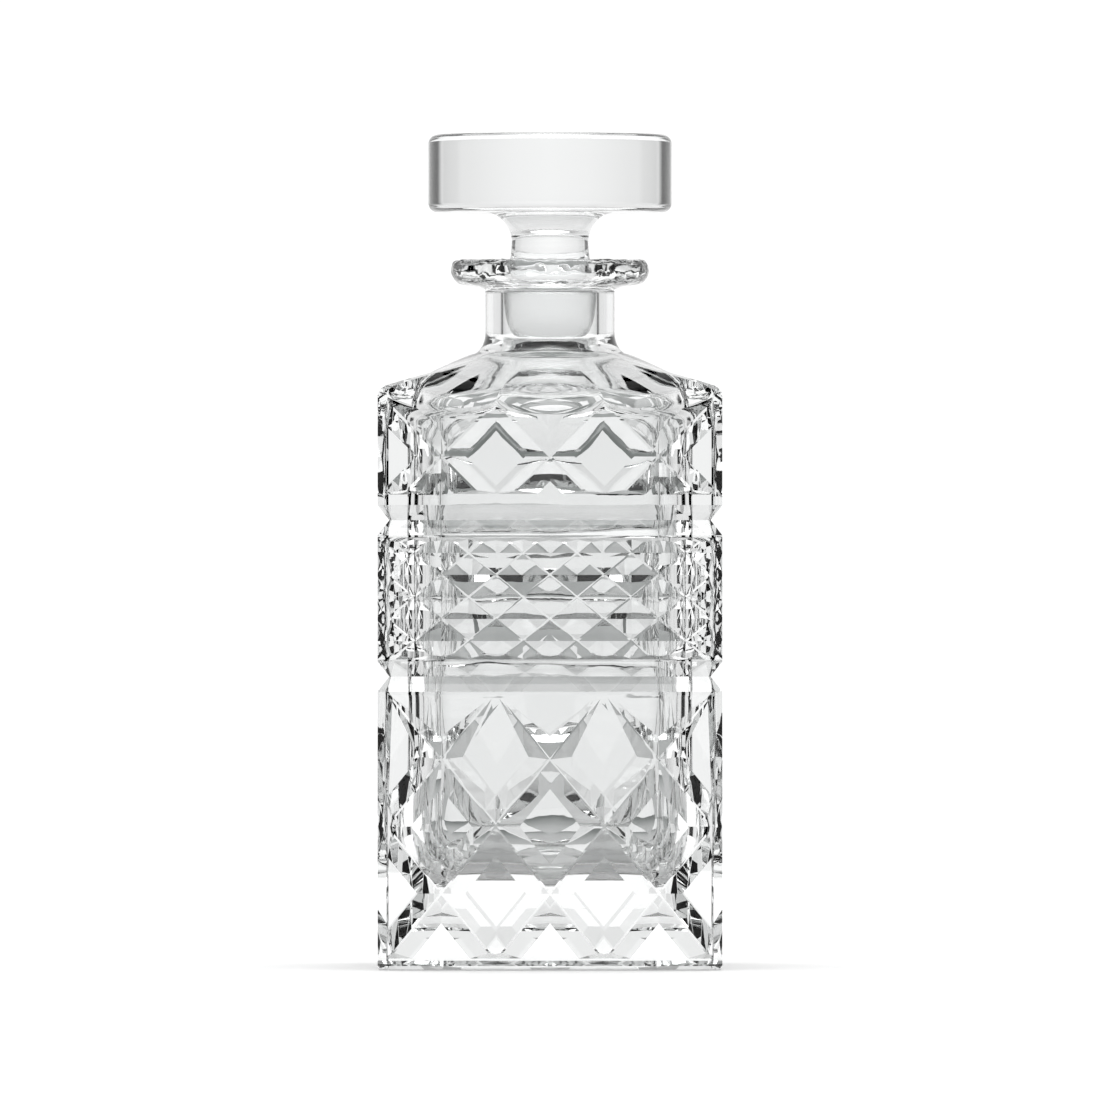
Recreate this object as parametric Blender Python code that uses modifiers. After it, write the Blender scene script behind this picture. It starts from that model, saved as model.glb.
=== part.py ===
"""Square cut-glass decanter with a lift-out stopper. Metres, +Z up, base centre at the origin, front on -Y."""

import math

import bmesh
import bpy
from mathutils import Matrix, Vector

MM = 0.001                  # every size below is in mm

# body
HALF = 48.5                 # half of the body's width
CORNER = 2.5                # leg of the flat on each upright corner
FOOT_BEVEL = 1.0
PANEL = 45.7                # half of the width the cut pattern covers
PITCH = 15.3                # sideways step of the pattern
DRAFT = math.tan(math.radians(30.0))  # slope of the walls that end the cuts at the pattern's edges

# the two grooves that run all round, and the three bands they part
GROOVE_DEPTH = 3.3
GROOVE_HALF = 4.25
GROOVE_LOW_Z = 82.4
GROOVE_TOP_Z = 126.4
LOW_BAND = (3.1, 77.6)
LOW_Z = 2.8                 # height of the lowest crossings in the low band
LOW_STEP = 18.75
LEAF_GAP = 0.5              # how far the points of the leaf-shaped cuts stay apart
MID_BAND = (87.2, 121.5)
TOP_BAND = (133.8, 170.0)
TOP_RIM = 0.6               # plain strip left under the scalloped edge
STAR_Z = 144.3              # height of the crossings in the top band
HOB_Z = 86.2                # height of the lowest crossings in the middle band
HOB_STEP = 6.2

# shoulder
SHOULDER_Z = 163.3          # height of its corners
SHOULDER_RISE = math.tan(math.radians(21.3))
DOME_DROP = 3.1
FLUTE_DROP = 2.8
FLUTES = 3
SIDE_STEPS = 12             # steps along one side of the shoulder

# neck and lip
NECK_R = 18.35
NECK_TOP = 191.0
LIP_R = 28.0
LIP_Z = 200.3

# inside
CAVITY_HALF = 40.2
CAVITY_ROUND = 12.0
CAVITY_FLOOR = 24.7
ARC_STEPS = 7
BORE_R = 13.5

# stopper
HEAD_R = 34.6
HEAD_TOP = 235.9
HEAD_LOW = 213.9
HEAD_ROUND = 2.6
STEM_R = 10.9
PLUG_R = 13.2
PLUG_LOW = 177.5
LATHE_STEPS = 40


def clear_scene():
    for thing in list(bpy.data.objects):
        bpy.data.objects.remove(thing, do_unlink=True)


def new_collection(name):
    group = bpy.data.collections.new(name)
    bpy.context.scene.collection.children.link(group)
    return group


def add_object(name, bm, group):
    bmesh.ops.recalc_face_normals(bm, faces=bm.faces)
    mesh = bpy.data.meshes.new(name)
    bm.to_mesh(mesh)
    bm.free()
    thing = bpy.data.objects.new(name, mesh)
    group.objects.link(thing)
    return thing


def add_cutter(name, bm, group):
    thing = add_object(name, bm, group)
    thing.hide_render = True
    thing.display_type = "WIRE"
    return thing


def arc(cx, cz, rx, rz, start, end, steps):
    """Points on an ellipse's arc, as (radius, height). Angles are in degrees."""
    points = []
    for i in range(steps + 1):
        a = math.radians(start + (end - start) * i / steps)
        points.append((cx + rx * math.cos(a), cz + rz * math.sin(a)))
    return points


# ---- rings and lofts ----

def side_ring(half, leg, steps, roundness, height):
    """A chamfered square turning into a circle as roundness goes from 0 to 1.

    height is a function of u, the place along a side from -1 to 1.
    """
    span = math.radians(90.0) * steps / (steps + 1) / 2
    ring = []
    for side in range(4):
        turn = Matrix.Rotation(math.radians(90.0) * side, 3, "Z")
        for i in range(steps + 1):
            u = -1.0 + 2.0 * i / steps
            flat = Vector((u * (half - leg), -half, 0.0))
            round_ = Vector((half * math.sin(u * span), -half * math.cos(u * span), 0.0))
            point = turn @ flat.lerp(round_, roundness)
            ring.append((point.x, point.y, height(u)))
    return ring


def cavity_ring(half, radius, roundness, z):
    """A square with rounded corners turning into a circle as roundness goes from 0 to 1."""
    ring = []
    for side in range(4):
        turn = Matrix.Rotation(math.radians(90.0) * side, 3, "Z")
        for i in range(ARC_STEPS + 1):
            t = i / ARC_STEPS
            a = math.radians(90.0) * t
            x = half - radius + radius * math.sin(a)
            y = -(half - radius) - radius * math.cos(a)
            b = math.radians(90.0) * (t * ARC_STEPS + 0.5) / (ARC_STEPS + 1)
            round_ = Vector((half * math.sin(b), -half * math.cos(b), 0.0))
            point = turn @ Vector((x, y, 0.0)).lerp(round_, roundness)
            ring.append((point.x, point.y, z))
    return ring


def join_rings(bm, low, high):
    for i in range(len(low)):
        j = (i + 1) % len(low)
        bm.faces.new((low[i], low[j], high[j], high[i]))


def join_corners(bm, low, high):
    """Only the flats on the four upright corners, between rings whose sides are carved panels."""
    few, many = len(low) // 4, len(high) // 4
    for side in range(4):
        bm.faces.new((low[(side + 1) * few - 1], low[(side + 1) * few % len(low)],
                      high[(side + 1) * many % len(high)], high[(side + 1) * many - 1]))


def loft(rings, panels=()):
    """A closed skin over the rings, but for the sides just above the rings numbered in panels."""
    bm = bmesh.new()
    rows = [[bm.verts.new(Vector(p) * MM) for p in ring] for ring in rings]
    bm.faces.new(rows[0][::-1])
    for i, (low, high) in enumerate(zip(rows, rows[1:])):
        join = join_corners if i in panels else join_rings
        join(bm, low, high)
    bm.faces.new(rows[-1])
    return bm


# ---- bottle ----

def shoulder_drop(u, fade):
    """How far the shoulder's surface sinks below its corners at u, for its dome and its flutes."""
    dome = DOME_DROP * (1.0 - u * u)
    place = (u + 1.0) * FLUTES / 2.0
    across = 2.0 * (place - math.floor(min(place, FLUTES - 0.001))) - 1.0
    flute = FLUTE_DROP * (1.0 - across * across)
    return dome * fade * fade + flute * fade ** 2.5


def edge_height(u):
    """Height of the scalloped edge at the top of a face."""
    return SHOULDER_Z - 1.6 - shoulder_drop(u, 1.0)


def shoulder_rings():
    """From the scalloped edge at the top of the faces to the foot of the neck."""
    edge = HALF - 2.2
    rings = [
        side_ring(HALF, CORNER, SIDE_STEPS, 0.0, edge_height),
        side_ring(HALF - 0.7, CORNER, SIDE_STEPS, 0.0, lambda u: SHOULDER_Z - shoulder_drop(u, 1.0)),
    ]
    foot = NECK_R + 5.0
    for i in range(5):
        t = i / 4
        half = edge + (foot - edge) * t
        z = SHOULDER_Z + 1.0 + (edge - half) * SHOULDER_RISE
        rings.append(side_ring(half, CORNER, SIDE_STEPS, t ** 1.5,
                               lambda u, z=z, t=t: z - shoulder_drop(u, 0.94 * (1.0 - t))))
    return rings


def neck_profile():
    """Radius and height up the outside of the neck and the lip."""
    foot_z = SHOULDER_Z + 1.0 + (HALF - NECK_R - 7.2) * SHOULDER_RISE
    rise = 180.0 - foot_z
    points = arc(NECK_R + 4.3, foot_z + rise, 4.3, rise * 0.96, 250.0, 180.0, 3)
    points.append((NECK_R, NECK_TOP))
    points += [(19.6, 192.4), (22.9, 193.0)]
    points += arc(LIP_R - 3.4, 197.3, 3.4, 3.9, -70.0, 0.0, 3)
    points += arc(LIP_R - 2.2, 197.9, 2.2, LIP_Z - 197.9, 20.0, 90.0, 3)
    return points


def bottle_outside():
    rings = [side_ring(HALF - FOOT_BEVEL, CORNER, 2, 0.0, lambda u: 0.0),
             side_ring(HALF, CORNER, 2, 0.0, lambda u: FOOT_BEVEL)]
    for z in (GROOVE_LOW_Z, GROOVE_TOP_Z):
        leg = CORNER - GROOVE_DEPTH * (2.0 - math.sqrt(2.0))
        rings.append(side_ring(HALF, CORNER, 2, 0.0, lambda u, z=z: z - GROOVE_HALF))
        rings.append(side_ring(HALF - GROOVE_DEPTH, leg, 2, 0.0, lambda u, z=z: z))
        rings.append(side_ring(HALF, CORNER, 2, 0.0, lambda u, z=z: z + GROOVE_HALF))
    rings += shoulder_rings()
    for r, z in neck_profile():
        rings.append(side_ring(r, 0.0, SIDE_STEPS, 1.0, lambda u, z=z: z))
    bm = loft(rings, panels=(1, 4, 7))
    add_panels(bm)
    return bm


def bottle_inside():
    """The space for the drink, the inner shoulder and the bore up through the lip."""
    rings = []
    for r, z in arc(CAVITY_HALF - 8.8, CAVITY_FLOOR + 16.0, 8.8, 16.0, 270.0, 360.0, 5):
        rings.append(cavity_ring(r, CAVITY_ROUND - (CAVITY_HALF - r) * 0.4, 0.0, z))
    for r, z in arc(CAVITY_HALF - 4.0, 155.5, 4.0, 4.5, 0.0, 65.0, 3):
        rings.append(cavity_ring(r, CAVITY_ROUND, 0.0, z))
    high = rings[-1][0][2]
    for half, roundness in ((28.0, 0.4), (20.0, 0.85)):
        z = high + (CAVITY_HALF - 2.3 - half) * SHOULDER_RISE
        rings.append(cavity_ring(half, CAVITY_ROUND, roundness, z))
    rings.append(cavity_ring(15.2, BORE_R, 1.0, 170.2))
    rings.append(cavity_ring(BORE_R, BORE_R, 1.0, 173.2))
    rings.append(cavity_ring(BORE_R, BORE_R, 1.0, LIP_Z - 0.8))
    rings.append(cavity_ring(BORE_R + 0.8, BORE_R, 1.0, LIP_Z))
    rings.append(cavity_ring(BORE_R + 0.8, BORE_R, 1.0, LIP_Z + 2.0))
    return loft(rings)


# ---- cuts in the faces ----
# A plane (a, b, c) gives a depth of a * x + b * z + c at the place (x, z) on a face, all in mm.
# A cut is a list of planes, and is as deep as the shallowest of them.

def straight_cut(x0, z0, x1, z1, width, depth):
    """A V along a line. The width is half of the opening."""
    length = math.hypot(x1 - x0, z1 - z0)
    a, b = -(z1 - z0) / length * depth / width, (x1 - x0) / length * depth / width
    c = -(a * x0 + b * z0)
    return [(a, b, depth + c), (-a, -b, depth - c)]


def leaf_cut(x0, z0, x1, z1, width, depth):
    """A V that starts as a point at the first place and is whole from the second one on."""
    sides = straight_cut(x0, z0, x1, z1, width, depth)
    square = (x1 - x0) ** 2 + (z1 - z0) ** 2
    a, b = (x1 - x0) / square * depth, (z1 - z0) / square * depth
    c = -(a * x0 + b * z0) - depth
    return sides + [(p + a, q + b, r + c) for p, q, r in sides]


def end_walls(low, high):
    """The drafted walls that end every cut at the pattern's edges."""
    return [(-1 / DRAFT, 0.0, PANEL / DRAFT), (1 / DRAFT, 0.0, PANEL / DRAFT),
            (0.0, 1 / DRAFT, -low / DRAFT), (0.0, -1 / DRAFT, high / DRAFT)]


def top_cuts():
    """Three crossings a side, with flat diamonds between them."""
    cuts = []
    for column in (-2, 0, 2):
        for way in (-1, 1):
            x = column * PITCH
            cuts.append(straight_cut(x, STAR_Z, x + way, STAR_Z - 1.0, 4.9, 2.2))
    return cuts


def middle_cuts():
    """A close net of crossing cuts that leaves only small pyramids."""
    width = HOB_STEP * PITCH / 2 / math.hypot(HOB_STEP, PITCH / 2)
    cuts = []
    for column in range(-6, 4):
        for way in (-1, 1):
            x = way * column * PITCH
            cuts.append(straight_cut(x, HOB_Z, x + way * PITCH / 2, HOB_Z + HOB_STEP, width, 2.3))
    return cuts


def low_cuts():
    """Large diamonds: each cut starts as a leaf's point at the band's top and runs on to its foot."""
    high = LOW_Z + 4 * LOW_STEP
    cuts = []
    for column in (-5, -3, -1, 1):
        for way in (-1, 1):
            x = way * column * PITCH
            tip = x + way * LEAF_GAP
            cuts.append(leaf_cut(tip, high - LEAF_GAP, x + way * PITCH, high - LOW_STEP, 5.2, 2.7))
    return cuts


def split(shape, plane):
    """The parts of a convex polygon where the plane is above and below 0."""
    heights = [plane[0] * p[0] + plane[1] * p[1] + plane[2] for p in shape]
    if min(heights) > -1e-7:
        return shape, []
    if max(heights) < 1e-7:
        return [], shape
    above, below = [], []
    for i, p in enumerate(shape):
        q = shape[i - 1]
        fp, fq = heights[i], heights[i - 1]
        if fp * fq < 0:
            t = fq / (fq - fp)
            cross = (q[0] + (p[0] - q[0]) * t, q[1] + (p[1] - q[1]) * t)
            above.append(cross)
            below.append(cross)
        if fp >= 0:
            above.append(p)
        if fp <= 0:
            below.append(p)
    return keep_shape(above), keep_shape(below)


def keep_shape(shape):
    """The polygon, or nothing if it has no area."""
    area = sum(p[0] * q[1] - q[0] * p[1] for p, q in zip(shape, shape[1:] + shape[:1]))
    return shape if abs(area) > 1e-7 else []


def apart(first, second):
    return tuple(p - q for p, q in zip(first, second))


def carve(shapes, cut):
    """Put one cut into shapes, a list of polygons with the plane each lies in."""
    carved = []
    for shape, plane in shapes:
        inside, rest = shape, []
        for side in cut:
            if inside:
                inside, out = split(inside, apart(side, plane))
                rest += [(out, plane)] if out else []
        if not inside:
            carved.append((shape, plane))
            continue
        carved += rest
        for side in cut:
            part = inside
            for other in cut:
                if part and other != side:
                    part = split(part, apart(other, side))[0]
            carved += [(part, side)] if part else []
    return carved


def with_neighbours(shape, places):
    """The polygon with every other polygon's corner that lies on its outline."""
    full = []
    for i, q in enumerate(shape):
        p = shape[i - 1]
        dx, dz = q[0] - p[0], q[1] - p[1]
        length = math.hypot(dx, dz)
        if length < 1e-5:
            continue
        found = []
        for r in places:
            t = ((r[0] - p[0]) * dx + (r[1] - p[1]) * dz) / length
            off = ((r[0] - p[0]) * dz - (r[1] - p[1]) * dx) / length
            if abs(off) < 1e-5 and 1e-5 < t < length + 1e-5:
                found.append((t, r))
        full += [r for _, r in sorted(found)]
    return full


def unique_places(shapes):
    kept = {}
    for shape, _ in shapes:
        for p in shape:
            kept.setdefault((round(p[0], 4), round(p[1], 4)), p)
    return list(kept.values())


def panel(fields, cuts):
    """Half of one band of one face. Fields are convex polygons, each with its own end walls."""
    shapes = []
    for field, walls in fields:
        part = [(field, (0.0, 0.0, 0.0))]
        for cut in cuts:
            part = carve(part, cut + walls)
        shapes += part
    places = unique_places(shapes)
    bm = bmesh.new()
    corners = {p: None for p in places}
    for shape, plane in shapes:
        row = []
        for p in with_neighbours(shape, places):
            if corners[p] is None:
                depth = max(0.0, plane[0] * p[0] + plane[1] * p[1] + plane[2])
                corners[p] = bm.verts.new((p[0] * MM, (depth - HALF) * MM, p[1] * MM))
            if corners[p] not in row:
                row.append(corners[p])
        if len(row) > 2:
            bm.faces.new(row)
    bm.normal_update()
    bmesh.ops.dissolve_limit(bm, angle_limit=0.002, verts=bm.verts, edges=bm.edges)
    loose = [v for v in bm.verts if v.is_boundary and len(v.link_edges) == 2 and v.calc_edge_angle() < 0.002]
    bmesh.ops.dissolve_verts(bm, verts=loose)
    return bm


def plain_field(low, high, band):
    """The right half of a band between two heights."""
    edge = HALF - CORNER
    shape = [(0.0, low), (edge, low), (edge, high), (0.0, high)]
    return [(shape, end_walls(*band))]


def top_fields(low, band):
    """The right half of the top band in strips, each of which ends at the scalloped edge."""
    fields = []
    edge = HALF - CORNER
    for i in range(SIDE_STEPS // 2, SIDE_STEPS):
        u0, u1 = -1.0 + 2.0 * i / SIDE_STEPS, -1.0 + 2.0 * (i + 1) / SIDE_STEPS
        z0, z1 = edge_height(u0), edge_height(u1)
        slope = (z1 - z0) / ((u1 - u0) * edge)
        top = z0 - slope * u0 * edge - TOP_RIM
        walls = end_walls(*band)[:3] + [(slope / DRAFT, -1 / DRAFT, top / DRAFT)]
        shape = [(u0 * edge, low), (u1 * edge, low), (u1 * edge, z1), (u0 * edge, z0)]
        fields.append((shape, walls))
    return fields


def add_panels(bm):
    """The carved faces of the three bands, on all four sides."""
    lines = [FOOT_BEVEL]
    for z in (GROOVE_LOW_Z, GROOVE_TOP_Z):
        lines += [z - GROOVE_HALF, z + GROOVE_HALF]
    made = [panel(plain_field(lines[0], lines[1], LOW_BAND), low_cuts()),
            panel(plain_field(lines[2], lines[3], MID_BAND), middle_cuts()),
            panel(top_fields(lines[4], TOP_BAND), top_cuts())]
    for piece in made:
        mesh = bpy.data.meshes.new("panel")
        piece.to_mesh(mesh)
        piece.free()
        for _ in range(4):
            mesh.transform(Matrix.Rotation(math.radians(90.0), 4, "Z"))
            bm.from_mesh(mesh)
        mesh.transform(Matrix.Scale(-1.0, 4, Vector((1.0, 0.0, 0.0))))
        for _ in range(4):
            mesh.transform(Matrix.Rotation(math.radians(90.0), 4, "Z"))
            bm.from_mesh(mesh)
        bpy.data.meshes.remove(mesh)
    bmesh.ops.remove_doubles(bm, verts=bm.verts, dist=0.0005)


def subtract(thing, cutter):
    modifier = thing.modifiers.new(cutter.name, "BOOLEAN")
    modifier.operation = "DIFFERENCE"
    modifier.solver = "EXACT"
    modifier.object = cutter


def make_bottle(parts, cutters):
    bottle = add_object("bottle", bottle_outside(), parts)
    bottle.data.shade_smooth()
    bottle.data.set_sharp_from_angle(angle=math.radians(18.0))
    subtract(bottle, add_cutter("inside", bottle_inside(), cutters))
    return bottle


# ---- stopper ----

def stopper_profile():
    """Radius and height from the top of the head down the outside to the plug's end."""
    points = [(0.0, HEAD_TOP)]
    points += arc(HEAD_R - HEAD_ROUND, HEAD_TOP - HEAD_ROUND, HEAD_ROUND, HEAD_ROUND, 90.0, 0.0, 3)
    points += arc(HEAD_R - HEAD_ROUND, HEAD_LOW + HEAD_ROUND, HEAD_ROUND, HEAD_ROUND, 0.0, -90.0, 3)
    points += arc(STEM_R + 8.0, 205.4, 8.0, HEAD_LOW - 205.4, 90.0, 180.0, 5)
    points += [(STEM_R + 0.3, 201.5), (STEM_R + 0.7, 198.0)]
    points += [(PLUG_R - 0.5, 195.0), (PLUG_R, 193.8)]
    points += [(PLUG_R - 0.1, 189.0), (PLUG_R - 0.6, 184.4)]
    points += [(PLUG_R - 1.7, 180.6), (PLUG_R - 3.0, 178.2)]
    points += [(PLUG_R - 3.9, PLUG_LOW), (0.0, PLUG_LOW)]
    return points


def make_stopper(parts):
    mesh = bpy.data.meshes.new("stopper")
    points = stopper_profile()
    edges = [(i, i + 1) for i in range(len(points) - 1)]
    mesh.from_pydata([(r * MM, 0.0, z * MM) for r, z in points], edges, [])
    stopper = bpy.data.objects.new("stopper", mesh)
    parts.objects.link(stopper)
    screw = stopper.modifiers.new("turn", "SCREW")
    screw.steps = LATHE_STEPS
    screw.render_steps = LATHE_STEPS
    screw.use_merge_vertices = True
    screw.merge_threshold = 0.00001
    screw.use_smooth_shade = True
    return stopper


def add_glass(thing, colour, roughness):
    material = bpy.data.materials.new(thing.name)
    material.use_nodes = True
    shader = material.node_tree.nodes["Principled BSDF"]
    shader.inputs["Base Color"].default_value = (*colour, 1.0)
    shader.inputs["Roughness"].default_value = roughness
    shader.inputs["Metallic"].default_value = 0.0
    thing.data.materials.append(material)


def main():
    clear_scene()
    parts = new_collection("cut_crystal_decanter")
    cutters = new_collection("cutters")
    add_glass(make_bottle(parts, cutters), (0.93, 0.95, 0.95), 0.03)
    add_glass(make_stopper(parts), (0.90, 0.92, 0.92), 0.04)


main()
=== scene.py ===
"""Looks of the cut-glass decanter: two glass pieces on a pale floor before a bright backdrop. +Z is up."""
import math

import bmesh
import bpy
from mathutils import Matrix, Vector, noise


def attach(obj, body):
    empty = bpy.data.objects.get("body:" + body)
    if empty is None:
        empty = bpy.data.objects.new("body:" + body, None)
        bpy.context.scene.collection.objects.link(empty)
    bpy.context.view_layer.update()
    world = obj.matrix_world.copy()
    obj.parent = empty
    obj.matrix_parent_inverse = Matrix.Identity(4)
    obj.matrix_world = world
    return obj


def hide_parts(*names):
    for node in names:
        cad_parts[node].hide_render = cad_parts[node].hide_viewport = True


MM = 0.001                  # every size below is in mm

# body
HALF = 48.5                 # half of the body's width
CORNER = 2.5                # leg of the flat on each upright corner
FOOT_BEVEL = 1.0
PANEL = 45.7                # half of the width the cut pattern covers
PITCH = 15.3                # sideways step of the pattern
DRAFT = math.tan(math.radians(30.0))  # slope of the walls that end the cuts at the pattern's edges

# the two grooves that run all round, and the three bands they part
GROOVE_DEPTH = 3.3
GROOVE_HALF = 4.25
GROOVE_LOW_Z = 82.4
GROOVE_TOP_Z = 126.4
LOW_BAND = (3.1, 77.6)
LOW_Z = 2.8                 # height of the lowest crossings in the low band
LOW_STEP = 18.75
LEAF_GAP = 0.5              # how far the points of the leaf-shaped cuts stay apart
MID_BAND = (87.2, 121.5)
TOP_BAND = (133.8, 170.0)
TOP_RIM = 0.6               # plain strip left under the scalloped edge
TOP_CUT = (4.9, 1.9)        # half of the opening, and depth, of each band's cuts
LOW_CUT = (5.2, 2.7)
MID_DEPTH = 2.3             # the middle band's cuts meet edge to edge, so they have only a depth
STAR_Z = 144.3              # height of the crossings in the top band
HOB_Z = 86.2                # height of the lowest crossings in the middle band
HOB_STEP = 6.2
KEEL = 0.14                 # depth the cutting wheel's flat takes off the bottom of each V

# shoulder
SHOULDER_Z = 163.3          # height of its corners
SHOULDER_RISE = math.tan(math.radians(21.3))
DOME_DROP = 3.1
FLUTE_DROP = 2.8
FLUTES = 3
SIDE_STEPS = 48             # steps along one side of the shoulder and round a quarter of the neck
SLOPE_STEPS = 16            # steps up the shoulder

# neck and lip
NECK_R = 18.35
NECK_TOP = 191.0
LIP_R = 28.0
LIP_Z = 200.3
LIP_UNEVEN = 0.3            # the most that the fire-polished lip is out of true
LIP_WAVE = 1.9              # size of its unevenness
LIP_LOW = 193.5             # it starts above this height

# inside
CAVITY_HALF = 40.2
CAVITY_ROUND = 12.0
CAVITY_FLOOR = 24.7
FLOOR_SWELL = 0.7           # how far the floor rises in the middle
WALL_TOP = 155.5            # the upright walls end here, in a curve
ROOF_HALF = CAVITY_HALF - 2.3
ROOF_Z = WALL_TOP + 4.5 * math.sin(math.radians(65.0))  # height of the inner shoulder's outer edge
ROOF_RISE = math.tan(math.radians(27.0))
WALL_STEPS = 44
BORE_R = 13.5
BORE_MOUTH = LIP_Z - 0.8    # the bore is straight from here
BORE_LOW = 176.6            # down to here, where it opens into the inner shoulder
BORE_FLARE = ((13.65, 175.2), (14.0, 174.0), (14.7, 172.8), (15.8, 171.6), (17.2, 170.6))
MOULDED_TOP = 173.4         # the bore is polished above this height
RIPPLE = 0.22               # how uneven the moulded inside is
WELD = 0.005                # corners of neighbouring faces closer than this are one

# stopper
HEAD_R = 34.6
HEAD_TOP = 235.9
HEAD_LOW = 213.9
HEAD_ROUND = 2.6
STEM_R = 10.9
PLUG_R = 13.2
PLUG_LOW = 177.5
GROUND_TOP = 194.6          # the plug is ground below this height
LATHE_STEPS = 160

# glass
GLASS_COLOUR = (0.985, 0.99, 0.99, 1.0)
GLASS_IOR = 1.53
DEPTH_COLOUR = (0.52, 0.55, 0.54, 1.0)  # what thick glass tends to
DEPTH_DENSITY = 1.8

# studio, in metres
FLOOR_R = 1.5
FLOOR_Z = -0.0003
FLOOR_GREY = 0.93
FLOOR_GLOW = 0.14           # lifts the floor to the backdrop's white
CAMERA_BACK = 5.0
CAMERA_Z = 0.118
VIEW_WIDTH = 0.3124         # width of the picture at the object
SENSOR = 36.0


def arc(cx, cz, rx, rz, start, end, steps):
    """Points on an ellipse's arc, as (radius, height). Angles are in degrees."""
    points = []
    for i in range(steps + 1):
        a = math.radians(start + (end - start) * i / steps)
        points.append((cx + rx * math.cos(a), cz + rz * math.sin(a)))
    return points


# ---- rings and lofts ----

def side_ring(half, leg, steps, roundness, height):
    """A chamfered square turning into a circle as roundness goes from 0 to 1.

    height is a function of u, the place along a side from -1 to 1.
    """
    span = math.radians(90.0) * steps / (steps + 1) / 2
    ring = []
    for side in range(4):
        turn = Matrix.Rotation(math.radians(90.0) * side, 3, "Z")
        for i in range(steps + 1):
            u = -1.0 + 2.0 * i / steps
            flat = Vector((u * (half - leg), -half, 0.0))
            round_ = Vector((half * math.sin(u * span), -half * math.cos(u * span), 0.0))
            point = turn @ flat.lerp(round_, roundness)
            ring.append((point.x, point.y, height(u)))
    return ring


def inner_ring(half, radius, roundness, z, ripple=0.0):
    """A square with rounded corners turning into a circle as roundness goes from 0 to 1.

    ripple moves it in and out by long waves and, less, by short ones.
    """
    flat = half - radius
    total = flat + radius * math.pi / 4
    ring = []
    for side in range(4):
        turn = Matrix.Rotation(math.radians(90.0) * side, 3, "Z")
        for i in range(SIDE_STEPS + 1):
            u = (-1.0 + 2.0 * i / SIDE_STEPS) * SIDE_STEPS / (SIDE_STEPS + 1)
            s = abs(u) * total
            a = max(0.0, s - flat) / max(radius, 0.001)
            x = math.copysign(min(s, flat) + radius * math.sin(a), u)
            square = Vector((x, -flat - radius * math.cos(a), 0.0))
            a = math.radians(45.0) * u
            round_ = Vector((half * math.sin(a), -half * math.cos(a), 0.0))
            point = turn @ square.lerp(round_, roundness)
            point.z = z
            wave = noise.noise(Vector((point.x / 26.0, point.y / 26.0, z / 17.0)))
            wave += 0.4 * noise.noise(Vector((point.x / 9.0 + 5.0, point.y / 9.0, z / 11.0)))
            point.x *= 1.0 + ripple * wave / max(half, 1.0)
            point.y *= 1.0 + ripple * wave / max(half, 1.0)
            ring.append((point.x, point.y, z))
    return ring


def join_rings(bm, low, high):
    for i in range(len(low)):
        j = (i + 1) % len(low)
        bm.faces.new((low[i], low[j], high[j], high[i]))


def join_corners(bm, low, high):
    """Only the flats on the four upright corners, between rings whose sides are carved panels."""
    few, many = len(low) // 4, len(high) // 4
    for side in range(4):
        bm.faces.new((low[(side + 1) * few - 1], low[(side + 1) * few % len(low)],
                      high[(side + 1) * many % len(high)], high[(side + 1) * many - 1]))


def loft(rings, panels=()):
    """A closed skin over the rings, but for the sides just above the rings numbered in panels."""
    bm = bmesh.new()
    rows = [[bm.verts.new(Vector(p) * MM) for p in ring] for ring in rings]
    bm.faces.new(rows[0][::-1])
    for i, (low, high) in enumerate(zip(rows, rows[1:])):
        join = join_corners if i in panels else join_rings
        join(bm, low, high)
    bm.faces.new(rows[-1])
    return bm


# ---- bottle ----

def shoulder_drop(u, fade):
    """How far the shoulder's surface sinks below its corners at u, for its dome and its flutes."""
    dome = DOME_DROP * (1.0 - u * u)
    place = (u + 1.0) * FLUTES / 2.0
    across = 2.0 * (place - math.floor(min(place, FLUTES - 0.001))) - 1.0
    flute = FLUTE_DROP * (1.0 - across * across)
    return dome * fade * fade + flute * fade ** 2.5


def edge_height(u):
    """Height of the scalloped edge at the top of a face."""
    return SHOULDER_Z - 1.6 - shoulder_drop(u, 1.0)


def shoulder_rings():
    """From the scalloped edge at the top of the faces to the foot of the neck."""
    edge = HALF - 2.2
    rings = [
        side_ring(HALF, CORNER, SIDE_STEPS, 0.0, edge_height),
        side_ring(HALF - 0.2, CORNER, SIDE_STEPS, 0.0, lambda u: SHOULDER_Z - 0.8 - shoulder_drop(u, 1.0)),
        side_ring(HALF - 0.7, CORNER, SIDE_STEPS, 0.0, lambda u: SHOULDER_Z - shoulder_drop(u, 1.0)),
    ]
    foot = NECK_R + 5.0
    for i in range(SLOPE_STEPS + 1):
        t = i / SLOPE_STEPS
        half = edge + (foot - edge) * t
        z = SHOULDER_Z + 1.0 + (edge - half) * SHOULDER_RISE
        rings.append(side_ring(half, CORNER, SIDE_STEPS, t ** 1.5,
                               lambda u, z=z, t=t: z - shoulder_drop(u, 0.94 * (1.0 - t))))
    return rings


def neck_profile():
    """Radius and height up the outside of the neck and the lip."""
    foot_z = SHOULDER_Z + 1.0 + (HALF - NECK_R - 7.2) * SHOULDER_RISE
    rise = 180.0 - foot_z
    points = arc(NECK_R + 4.3, foot_z + rise, 4.3, rise * 0.96, 250.0, 180.0, 12)
    points += [(NECK_R, 184.0), (NECK_R, 188.0), (NECK_R, NECK_TOP - 0.4)]
    points += arc(NECK_R + 2.0, NECK_TOP, 2.0, 1.6, 180.0, 100.0, 5)
    points += [(22.9, 193.0)]
    points += arc(LIP_R - 3.4, 197.3, 3.4, 3.9, -70.0, 0.0, 8)
    points += arc(LIP_R - 2.2, 197.9, 2.2, LIP_Z - 197.9, 12.0, 90.0, 8)
    points += [(BORE_R + 4.0, LIP_Z), (BORE_R + 0.8, LIP_Z)]
    return points


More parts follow.
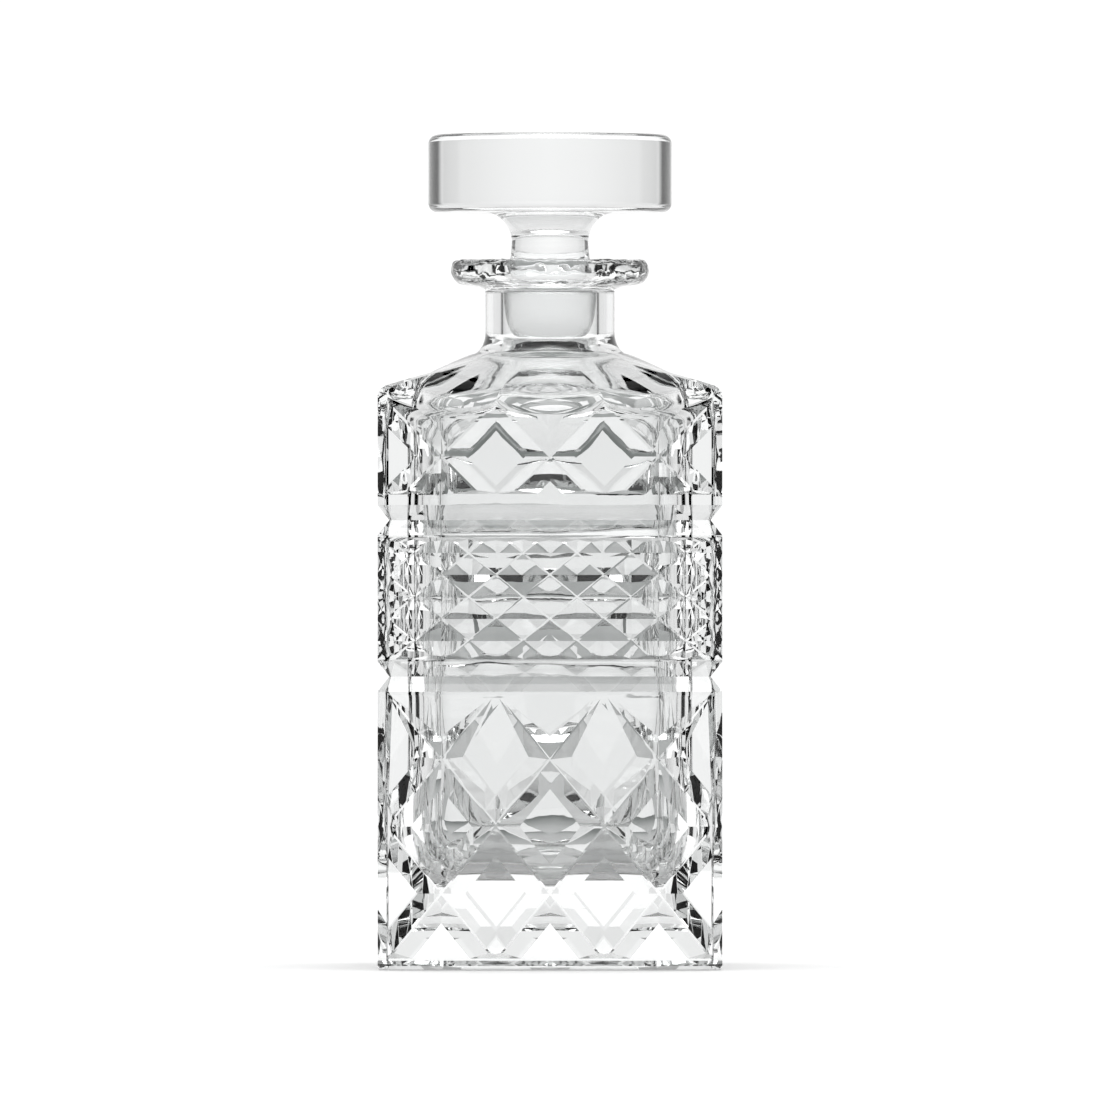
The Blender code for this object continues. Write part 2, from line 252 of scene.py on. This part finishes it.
def uneven(point):
    """A point of the lip, moved as its fire-polished surface is out of true."""
    p = Vector(point)
    push = LIP_UNEVEN * noise.noise(p / LIP_WAVE)
    return (p.x * (1.0 + push / LIP_R), p.y * (1.0 + push / LIP_R), p.z + push)


def cavity_rings():
    """From the mouth down the bore and the inner shoulder to the middle of the floor."""
    rings = []
    for i in range(9):
        rings.append(inner_ring(BORE_R, BORE_R, 1.0, BORE_MOUTH - (BORE_MOUTH - BORE_LOW) * i / 8))
    for r, z in BORE_FLARE:
        rings.append(inner_ring(r, BORE_R, 1.0, z))
    start = BORE_FLARE[-1][0]
    for i in range(1, 13):
        half = start + (ROOF_HALF - start) * i / 12
        z = ROOF_Z + (ROOF_HALF - half) * ROOF_RISE
        rings.append(inner_ring(half, CAVITY_ROUND, 0.98 * (1.0 - i / 12) ** 1.2, z, RIPPLE))
    for r, z in arc(CAVITY_HALF - 4.0, WALL_TOP, 4.0, 4.5, 55.0, 0.0, 5):
        rings.append(inner_ring(r, CAVITY_ROUND, 0.0, z, RIPPLE))
    low = CAVITY_FLOOR + 16.0
    for i in range(1, WALL_STEPS):
        z = WALL_TOP + (low - WALL_TOP) * i / WALL_STEPS
        rings.append(inner_ring(CAVITY_HALF, CAVITY_ROUND, 0.0, z, RIPPLE))
    wide = CAVITY_HALF - 8.8
    for r, z in arc(wide, low, 8.8, 16.0, 0.0, -90.0, 16):
        rings.append(inner_ring(r, CAVITY_ROUND - (CAVITY_HALF - r) * 0.4, 0.0, z, RIPPLE))
    for share in (0.94, 0.86, 0.76, 0.64, 0.5, 0.36, 0.22, 0.1):
        swell = FLOOR_SWELL * (1.0 - share * share)
        rings.append(inner_ring(wide * share, 8.5 * share, 0.0, CAVITY_FLOOR + swell, RIPPLE))
    return rings


def bottle_skin():
    """One closed skin: up the outside, over the lip, down the bore and round the drink's space."""
    rings = [side_ring(HALF - FOOT_BEVEL, CORNER, 2, 0.0, lambda u: 0.0),
             side_ring(HALF, CORNER, 2, 0.0, lambda u: FOOT_BEVEL)]
    for z in (GROOVE_LOW_Z, GROOVE_TOP_Z):
        leg = CORNER - GROOVE_DEPTH * (2.0 - math.sqrt(2.0))
        rings.append(side_ring(HALF, CORNER, 2, 0.0, lambda u, z=z: z - GROOVE_HALF))
        rings.append(side_ring(HALF - GROOVE_DEPTH, leg, 2, 0.0, lambda u, z=z: z))
        rings.append(side_ring(HALF, CORNER, 2, 0.0, lambda u, z=z: z + GROOVE_HALF))
    rings += shoulder_rings()
    for r, z in neck_profile():
        ring = side_ring(r, 0.0, SIDE_STEPS, 1.0, lambda u, z=z: z)
        rings.append([uneven(p) for p in ring] if z > LIP_LOW and r > BORE_R + 2.0 else ring)
    rings += cavity_rings()
    bm = loft(rings, panels=(1, 4, 7))
    add_panels(bm)
    return bm


# ---- cuts in the faces ----
# A plane (a, b, c) gives a depth of a * x + b * z + c at the place (x, z) on a face, all in mm.
# A cut is a list of planes, and is as deep as the shallowest of them.

def straight_cut(x0, z0, x1, z1, width, depth):
    """A V along a line, with a narrow flat at its bottom. The width is half of the opening."""
    length = math.hypot(x1 - x0, z1 - z0)
    a, b = -(z1 - z0) / length * depth / width, (x1 - x0) / length * depth / width
    c = -(a * x0 + b * z0)
    return [(a, b, depth + c), (-a, -b, depth - c), (0.0, 0.0, depth - KEEL)]


def leaf_cut(x0, z0, x1, z1, width, depth):
    """A V that starts as a point at the first place and is whole from the second one on."""
    sides = straight_cut(x0, z0, x1, z1, width, depth)
    square = (x1 - x0) ** 2 + (z1 - z0) ** 2
    a, b = (x1 - x0) / square * depth, (z1 - z0) / square * depth
    c = -(a * x0 + b * z0) - depth
    return sides + [(p + a, q + b, r + c) for p, q, r in sides]


def end_walls(low, high):
    """The drafted walls that end every cut at the pattern's edges."""
    return [(-1 / DRAFT, 0.0, PANEL / DRAFT), (1 / DRAFT, 0.0, PANEL / DRAFT),
            (0.0, 1 / DRAFT, -low / DRAFT), (0.0, -1 / DRAFT, high / DRAFT)]


def top_cuts():
    """Three crossings a side, with flat diamonds between them."""
    cuts = []
    for column in (-2, 0, 2):
        for way in (-1, 1):
            x = column * PITCH
            cuts.append(straight_cut(x, STAR_Z, x + way, STAR_Z - 1.0, *TOP_CUT))
    return cuts


def middle_cuts():
    """A close net of crossing cuts that leaves only small pyramids."""
    width = HOB_STEP * PITCH / 2 / math.hypot(HOB_STEP, PITCH / 2)
    cuts = []
    for column in range(-6, 4):
        for way in (-1, 1):
            x = way * column * PITCH
            cuts.append(straight_cut(x, HOB_Z, x + way * PITCH / 2, HOB_Z + HOB_STEP, width, MID_DEPTH))
    return cuts


def low_cuts():
    """Large diamonds: each cut starts as a leaf's point at the band's top and runs on to its foot."""
    high = LOW_Z + 4 * LOW_STEP
    cuts = []
    for column in (-5, -3, -1, 1):
        for way in (-1, 1):
            x = way * column * PITCH
            tip = x + way * LEAF_GAP
            cuts.append(leaf_cut(tip, high - LEAF_GAP, x + way * PITCH, high - LOW_STEP, *LOW_CUT))
    return cuts


def split(shape, plane):
    """The parts of a convex polygon where the plane is above and below 0."""
    heights = [plane[0] * p[0] + plane[1] * p[1] + plane[2] for p in shape]
    if min(heights) > -1e-7:
        return shape, []
    if max(heights) < 1e-7:
        return [], shape
    above, below = [], []
    for i, p in enumerate(shape):
        q = shape[i - 1]
        fp, fq = heights[i], heights[i - 1]
        if fp * fq < 0:
            t = fq / (fq - fp)
            cross = (q[0] + (p[0] - q[0]) * t, q[1] + (p[1] - q[1]) * t)
            above.append(cross)
            below.append(cross)
        if fp >= 0:
            above.append(p)
        if fp <= 0:
            below.append(p)
    return keep_shape(above), keep_shape(below)


def keep_shape(shape):
    """The polygon, or nothing if it has no area."""
    area = sum(p[0] * q[1] - q[0] * p[1] for p, q in zip(shape, shape[1:] + shape[:1]))
    return shape if abs(area) > 1e-7 else []


def apart(first, second):
    return tuple(p - q for p, q in zip(first, second))


def carve(shapes, cut):
    """Put one cut into shapes, a list of polygons with the plane each lies in."""
    carved = []
    for shape, plane in shapes:
        inside, rest = shape, []
        for side in cut:
            if inside:
                inside, out = split(inside, apart(side, plane))
                rest += [(out, plane)] if out else []
        if not inside:
            carved.append((shape, plane))
            continue
        carved += rest
        for side in cut:
            part = inside
            for other in cut:
                if part and other != side:
                    part = split(part, apart(other, side))[0]
            carved += [(part, side)] if part else []
    return carved


def with_neighbours(shape, places):
    """The polygon with every other polygon's corner that lies on its outline."""
    full = []
    for i, q in enumerate(shape):
        p = shape[i - 1]
        dx, dz = q[0] - p[0], q[1] - p[1]
        length = math.hypot(dx, dz)
        if length < 1e-5:
            continue
        found = []
        for r in places:
            t = ((r[0] - p[0]) * dx + (r[1] - p[1]) * dz) / length
            off = ((r[0] - p[0]) * dz - (r[1] - p[1]) * dx) / length
            if abs(off) < 1e-5 and 1e-5 < t < length + 1e-5:
                found.append((t, r))
        full += [r for _, r in sorted(found)]
    return full


def unique_places(shapes):
    kept = {}
    for shape, _ in shapes:
        for p in shape:
            kept.setdefault((round(p[0], 4), round(p[1], 4)), p)
    return list(kept.values())


def near(shape, places):
    """The places within the polygon's own box, which are the only ones its outline can meet."""
    x0, x1 = min(p[0] for p in shape) - 1e-3, max(p[0] for p in shape) + 1e-3
    z0, z1 = min(p[1] for p in shape) - 1e-3, max(p[1] for p in shape) + 1e-3
    return [p for p in places if x0 < p[0] < x1 and z0 < p[1] < z1]


def panel(fields, cuts):
    """Half of one band of one face. Fields are convex polygons, each with its own end walls."""
    shapes = []
    for field, walls in fields:
        part = [(field, (0.0, 0.0, 0.0))]
        for cut in cuts:
            part = carve(part, cut + walls)
        shapes += part
    places = unique_places(shapes)
    bm = bmesh.new()
    corners = {p: None for p in places}
    for shape, plane in shapes:
        row = []
        for p in with_neighbours(shape, near(shape, places)):
            if corners[p] is None:
                depth = max(0.0, plane[0] * p[0] + plane[1] * p[1] + plane[2])
                corners[p] = bm.verts.new((p[0] * MM, (depth - HALF) * MM, p[1] * MM))
            if corners[p] not in row:
                row.append(corners[p])
        if len(row) > 2:
            bm.faces.new(row)
    bm.normal_update()
    bmesh.ops.dissolve_limit(bm, angle_limit=0.002, verts=bm.verts, edges=bm.edges)
    loose = [v for v in bm.verts if v.is_boundary and len(v.link_edges) == 2 and v.calc_edge_angle() < 0.002]
    bmesh.ops.dissolve_verts(bm, verts=loose)
    return bm


def plain_field(low, high, band):
    """The right half of a band between two heights."""
    edge = HALF - CORNER
    shape = [(0.0, low), (edge, low), (edge, high), (0.0, high)]
    return [(shape, end_walls(*band))]


def top_fields(low, band):
    """The right half of the top band in strips, each of which ends at the scalloped edge."""
    fields = []
    edge = HALF - CORNER
    for i in range(SIDE_STEPS // 2, SIDE_STEPS):
        u0, u1 = -1.0 + 2.0 * i / SIDE_STEPS, -1.0 + 2.0 * (i + 1) / SIDE_STEPS
        z0, z1 = edge_height(u0), edge_height(u1)
        slope = (z1 - z0) / ((u1 - u0) * edge)
        top = z0 - slope * u0 * edge - TOP_RIM
        walls = end_walls(*band)[:3] + [(slope / DRAFT, -1 / DRAFT, top / DRAFT)]
        shape = [(u0 * edge, low), (u1 * edge, low), (u1 * edge, z1), (u0 * edge, z0)]
        fields.append((shape, walls))
    return fields


def add_panels(bm):
    """The carved faces of the three bands, on all four sides."""
    lines = [FOOT_BEVEL]
    for z in (GROOVE_LOW_Z, GROOVE_TOP_Z):
        lines += [z - GROOVE_HALF, z + GROOVE_HALF]
    made = [panel(plain_field(lines[0], lines[1], LOW_BAND), low_cuts()),
            panel(plain_field(lines[2], lines[3], MID_BAND), middle_cuts()),
            panel(top_fields(lines[4], TOP_BAND), top_cuts())]
    for piece in made:
        mesh = bpy.data.meshes.new("panel")
        piece.to_mesh(mesh)
        piece.free()
        for _ in range(4):
            mesh.transform(Matrix.Rotation(math.radians(90.0), 4, "Z"))
            bm.from_mesh(mesh)
        mesh.transform(Matrix.Scale(-1.0, 4, Vector((1.0, 0.0, 0.0))))
        for _ in range(4):
            mesh.transform(Matrix.Rotation(math.radians(90.0), 4, "Z"))
            bm.from_mesh(mesh)
        bpy.data.meshes.remove(mesh)
    bmesh.ops.remove_doubles(bm, verts=bm.verts, dist=WELD * MM)


# ---- stopper ----

def stopper_profile():
    """Radius and height from the top of the head down the outside to the plug's end."""
    points = arc(HEAD_R - HEAD_ROUND, HEAD_TOP - HEAD_ROUND, HEAD_ROUND, HEAD_ROUND, 90.0, 0.0, 10)
    for i in range(1, 6):
        points.append((HEAD_R, HEAD_TOP - HEAD_ROUND - (HEAD_TOP - HEAD_LOW - 2 * HEAD_ROUND) * i / 6))
    points += arc(HEAD_R - HEAD_ROUND, HEAD_LOW + HEAD_ROUND, HEAD_ROUND, HEAD_ROUND, 0.0, -90.0, 10)
    points += arc(STEM_R + 8.0, 205.4, 8.0, HEAD_LOW - 205.4, 90.0, 180.0, 20)
    points += [(STEM_R + 0.08, 203.5), (STEM_R + 0.3, 201.5), (STEM_R + 0.48, 199.8), (STEM_R + 0.7, 198.0)]
    points += [(STEM_R + 1.1, 196.4), (PLUG_R - 0.5, 195.0), (PLUG_R, 193.8)]
    points += [(PLUG_R - 0.04, 191.6), (PLUG_R - 0.1, 189.0), (PLUG_R - 0.3, 186.7), (PLUG_R - 0.6, 184.4)]
    points += [(PLUG_R - 1.05, 182.4), (PLUG_R - 1.7, 180.6), (PLUG_R - 2.3, 179.3), (PLUG_R - 3.0, 178.2)]
    points += [(PLUG_R - 3.9, PLUG_LOW)]
    return points


def stopper_skin():
    """The profile turned round the Z axis, with a flat face at each end."""
    bm = bmesh.new()
    rows = []
    for r, z in stopper_profile():
        row = []
        for i in range(LATHE_STEPS):
            a = 2.0 * math.pi * i / LATHE_STEPS
            row.append(bm.verts.new((r * math.cos(a) * MM, r * math.sin(a) * MM, z * MM)))
        rows.append(row)
    bm.faces.new(rows[0])
    for high, low in zip(rows, rows[1:]):
        join_rings(bm, low, high)
    bm.faces.new(rows[-1][::-1])
    return bm


# ---- materials ----

def node(tree, kind, x, y, **settings):
    made = tree.nodes.new(kind)
    made.location = (x, y)
    for name, value in settings.items():
        setattr(made, name, value)
    return made


def glass(name, roughness, ripple_size, ripple_height):
    """Clear crystal. The surface is very slightly uneven, as pressed and polished glass is."""
    material = bpy.data.materials.new(name)
    material.use_nodes = True
    tree = material.node_tree
    shader = tree.nodes["Principled BSDF"]
    shader.inputs["Base Color"].default_value = GLASS_COLOUR
    shader.inputs["Roughness"].default_value = roughness
    shader.inputs["IOR"].default_value = GLASS_IOR
    shader.inputs["Transmission Weight"].default_value = 1.0
    place = node(tree, "ShaderNodeTexCoord", -900, -200)
    waves = node(tree, "ShaderNodeTexNoise", -700, -200)
    waves.inputs["Scale"].default_value = 1.0 / ripple_size
    waves.inputs["Detail"].default_value = 2.0
    bump = node(tree, "ShaderNodeBump", -450, -200)
    bump.inputs["Strength"].default_value = 1.0
    bump.inputs["Distance"].default_value = ripple_height
    tree.links.new(place.outputs["Object"], waves.inputs["Vector"])
    tree.links.new(waves.outputs["Fac"], bump.inputs["Height"])
    tree.links.new(bump.outputs["Normal"], shader.inputs["Normal"])
    dim = node(tree, "ShaderNodeVolumeAbsorption", -200, -500)
    dim.inputs["Color"].default_value = DEPTH_COLOUR
    dim.inputs["Density"].default_value = DEPTH_DENSITY
    tree.links.new(dim.outputs[0], tree.nodes["Material Output"].inputs["Volume"])
    return material


def add_piece(name, bm, sharp, materials, finish):
    bmesh.ops.recalc_face_normals(bm, faces=bm.faces)
    for face in bm.faces:
        face.smooth = True
        face.material_index = finish(face.calc_center_median())
    for edge in bm.edges:
        edge.smooth = edge.is_manifold and edge.calc_face_angle() < math.radians(sharp)
    mesh = bpy.data.meshes.new(name)
    bm.to_mesh(mesh)
    bm.free()
    for material in materials:
        mesh.materials.append(material)
    thing = bpy.data.objects.new(name, mesh)
    bpy.context.scene.collection.objects.link(thing)
    return thing


def bottle_finish(centre):
    """0 is polished, and 1 is the moulded inside."""
    r = max(abs(centre.x), abs(centre.y)) / MM
    z = centre.z / MM
    roof = ROOF_Z + (ROOF_HALF - r) * ROOF_RISE + 0.5
    if CAVITY_FLOOR - 0.5 < z < min(roof, MOULDED_TOP) and r < CAVITY_HALF + 0.4:
        return 1
    return 0


def stopper_finish(centre):
    """0 is polished, and 1 is the ground plug."""
    return 1 if (PLUG_LOW + 0.4) * MM < centre.z < GROUND_TOP * MM else 0


# ---- studio ----
# The light's grey by angle in degrees: sideways from straight behind the object, up or down from level,
# and how far up and down the sideways greys reach. Beyond that reach the grey is AWAY, and UPWARD dims both.

SIDEWAYS = ((0, 1.0), (12, 0.96), (30, 0.86), (54, 0.78),
            (60, 0.04), (64, 0.0), (80, 0.0), (87, 0.8), (180, 0.3))
UPWARD = ((0, 1.0), (12, 0.95), (30, 0.84), (50, 0.7), (62, 0.55), (66, 0.1), (76, 0.1), (80, 1.0))
REACH = ((0, 1.0), (9, 1.0), (20, 0.0))
AWAY = 0.9
SEEN_WHITE = 1.04           # what the camera sees past the object


def make_floor():
    """A round pale floor, just under the foot."""
    bm = bmesh.new()
    rows = []
    for i in range(25):
        r = 0.02 + FLOOR_R * (i / 24) ** 2
        rows.append([bm.verts.new((r * math.cos(a * math.pi / 24), r * math.sin(a * math.pi / 24), FLOOR_Z))
                     for a in range(48)])
    bm.faces.new(rows[0])
    for low, high in zip(rows, rows[1:]):
        join_rings(bm, low, high)
    mesh = bpy.data.meshes.new("floor")
    bm.to_mesh(mesh)
    bm.free()
    floor = bpy.data.objects.new("floor", mesh)
    bpy.context.scene.collection.objects.link(floor)
    material = bpy.data.materials.new("floor")
    material.use_nodes = True
    shader = material.node_tree.nodes["Principled BSDF"]
    shader.inputs["Base Color"].default_value = (FLOOR_GREY, FLOOR_GREY, FLOOR_GREY, 1.0)
    shader.inputs["Roughness"].default_value = 0.8
    shader.inputs["Specular IOR Level"].default_value = 0.14
    shader.inputs["Emission Color"].default_value = (1.0, 1.0, 1.0, 1.0)
    shader.inputs["Emission Strength"].default_value = FLOOR_GLOW
    mesh.materials.append(material)


def angle_ramp(tree, angle, stops, y):
    """A grey for each angle, from (degrees, grey) pairs. The angle comes in as a share of 180 degrees."""
    ramp = node(tree, "ShaderNodeValToRGB", -400, y)
    elements = ramp.color_ramp.elements
    while len(elements) < len(stops):
        elements.new(0.5)
    for element, (degrees, grey) in zip(elements, stops):
        element.position = degrees / 180.0
        element.color = (grey, grey, grey, 1.0)
    tree.links.new(angle, ramp.inputs["Fac"])
    return ramp.outputs["Color"]


def make_world():
    """A bright backdrop with a dark zone at each side and one high up, which give clear glass its dark edges.

    The camera itself sees plain white past the object.
    """
    world = bpy.data.worlds.new("studio")
    bpy.context.scene.world = world
    world.use_nodes = True
    tree = world.node_tree
    place = node(tree, "ShaderNodeTexCoord", -1600, 0)
    parts = node(tree, "ShaderNodeSeparateXYZ", -1400, 0)
    tree.links.new(place.outputs["Generated"], parts.inputs[0])
    angles = []
    for kind, y in (("ARCTAN2", 200), ("ARCSINE", -200)):
        turn = node(tree, "ShaderNodeMath", -1200, y, operation=kind)
        size = node(tree, "ShaderNodeMath", -1000, y, operation="ABSOLUTE")
        share = node(tree, "ShaderNodeMath", -800, y, operation="DIVIDE")
        share.inputs[1].default_value = math.pi
        tree.links.new(turn.outputs[0], size.inputs[0])
        tree.links.new(size.outputs[0], share.inputs[0])
        angles.append((turn, share.outputs[0]))
    tree.links.new(parts.outputs["X"], angles[0][0].inputs[0])
    tree.links.new(parts.outputs["Y"], angles[0][0].inputs[1])
    tree.links.new(parts.outputs["Z"], angles[1][0].inputs[0])
    sideways = angle_ramp(tree, angles[0][1], SIDEWAYS, 200)
    upward = angle_ramp(tree, angles[1][1], UPWARD, -200)
    reach = angle_ramp(tree, angles[1][1], REACH, -500)
    level = node(tree, "ShaderNodeMix", -100, 200, data_type="RGBA")
    level.inputs["A"].default_value = (AWAY, AWAY, AWAY, 1.0)
    tree.links.new(reach, level.inputs["Factor"])
    tree.links.new(sideways, level.inputs["B"])
    light = node(tree, "ShaderNodeMix", 0, 0, data_type="RGBA", blend_type="MULTIPLY")
    light.inputs["Factor"].default_value = 1.0
    tree.links.new(level.outputs["Result"], light.inputs["A"])
    tree.links.new(upward, light.inputs["B"])
    path = node(tree, "ShaderNodeLightPath", 0, 400)
    seen = node(tree, "ShaderNodeMix", 200, 200, data_type="RGBA")
    seen.inputs["B"].default_value = (SEEN_WHITE, SEEN_WHITE, SEEN_WHITE, 1.0)
    tree.links.new(path.outputs["Is Camera Ray"], seen.inputs["Factor"])
    tree.links.new(light.outputs["Result"], seen.inputs["A"])
    tree.links.new(seen.outputs["Result"], tree.nodes["Background"].inputs["Color"])


def make_lamp():
    """One wide, soft light from straight above."""
    light = bpy.data.lights.new("overhead", "SUN")
    light.angle = math.radians(50.0)
    light.energy = 1.5
    lamp = bpy.data.objects.new("overhead", light)
    lamp.location = (0.0, 0.0, 3.0)
    bpy.context.scene.collection.objects.link(lamp)


def make_camera():
    data = bpy.data.cameras.new("camera")
    data.sensor_width = SENSOR
    data.lens = SENSOR * CAMERA_BACK / VIEW_WIDTH
    data.clip_end = 100.0
    camera = bpy.data.objects.new("camera", data)
    camera.location = (0.0, -CAMERA_BACK, CAMERA_Z)
    camera.rotation_euler = (math.radians(90.0), 0.0, 0.0)
    bpy.context.scene.collection.objects.link(camera)
    bpy.context.scene.camera = camera


def set_contrast():
    """Plain display colours, with a little more contrast between the darkest and the brightest."""
    view = bpy.context.scene.view_settings
    view.view_transform = "Standard"
    view.use_curve_mapping = True
    view.curve_mapping.black_level = (0.02, 0.02, 0.02)
    view.curve_mapping.white_level = (0.965, 0.965, 0.965)
    view.curve_mapping.update()


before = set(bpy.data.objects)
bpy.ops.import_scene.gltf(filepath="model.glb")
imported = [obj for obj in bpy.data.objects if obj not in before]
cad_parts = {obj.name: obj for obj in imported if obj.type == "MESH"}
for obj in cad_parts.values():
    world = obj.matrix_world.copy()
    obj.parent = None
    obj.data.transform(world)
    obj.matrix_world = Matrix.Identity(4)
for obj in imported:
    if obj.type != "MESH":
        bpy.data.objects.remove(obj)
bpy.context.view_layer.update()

polished = glass("crystal", 0.0, 0.011, 0.00001)
ground = glass("ground_crystal", 0.2, 0.002, 0.00001)
moulded = glass("moulded_crystal", 0.02, 0.008, 0.00003)

bottle = add_piece("bottle_crystal", bottle_skin(), 18.0, (polished, moulded), bottle_finish)
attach(bottle, "bottle")
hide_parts("bottle")

stopper = add_piece("stopper_crystal", stopper_skin(), 30.0, (polished, ground), stopper_finish)
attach(stopper, "stopper")
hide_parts("stopper")

make_floor()
make_world()
make_lamp()
make_camera()
set_contrast()
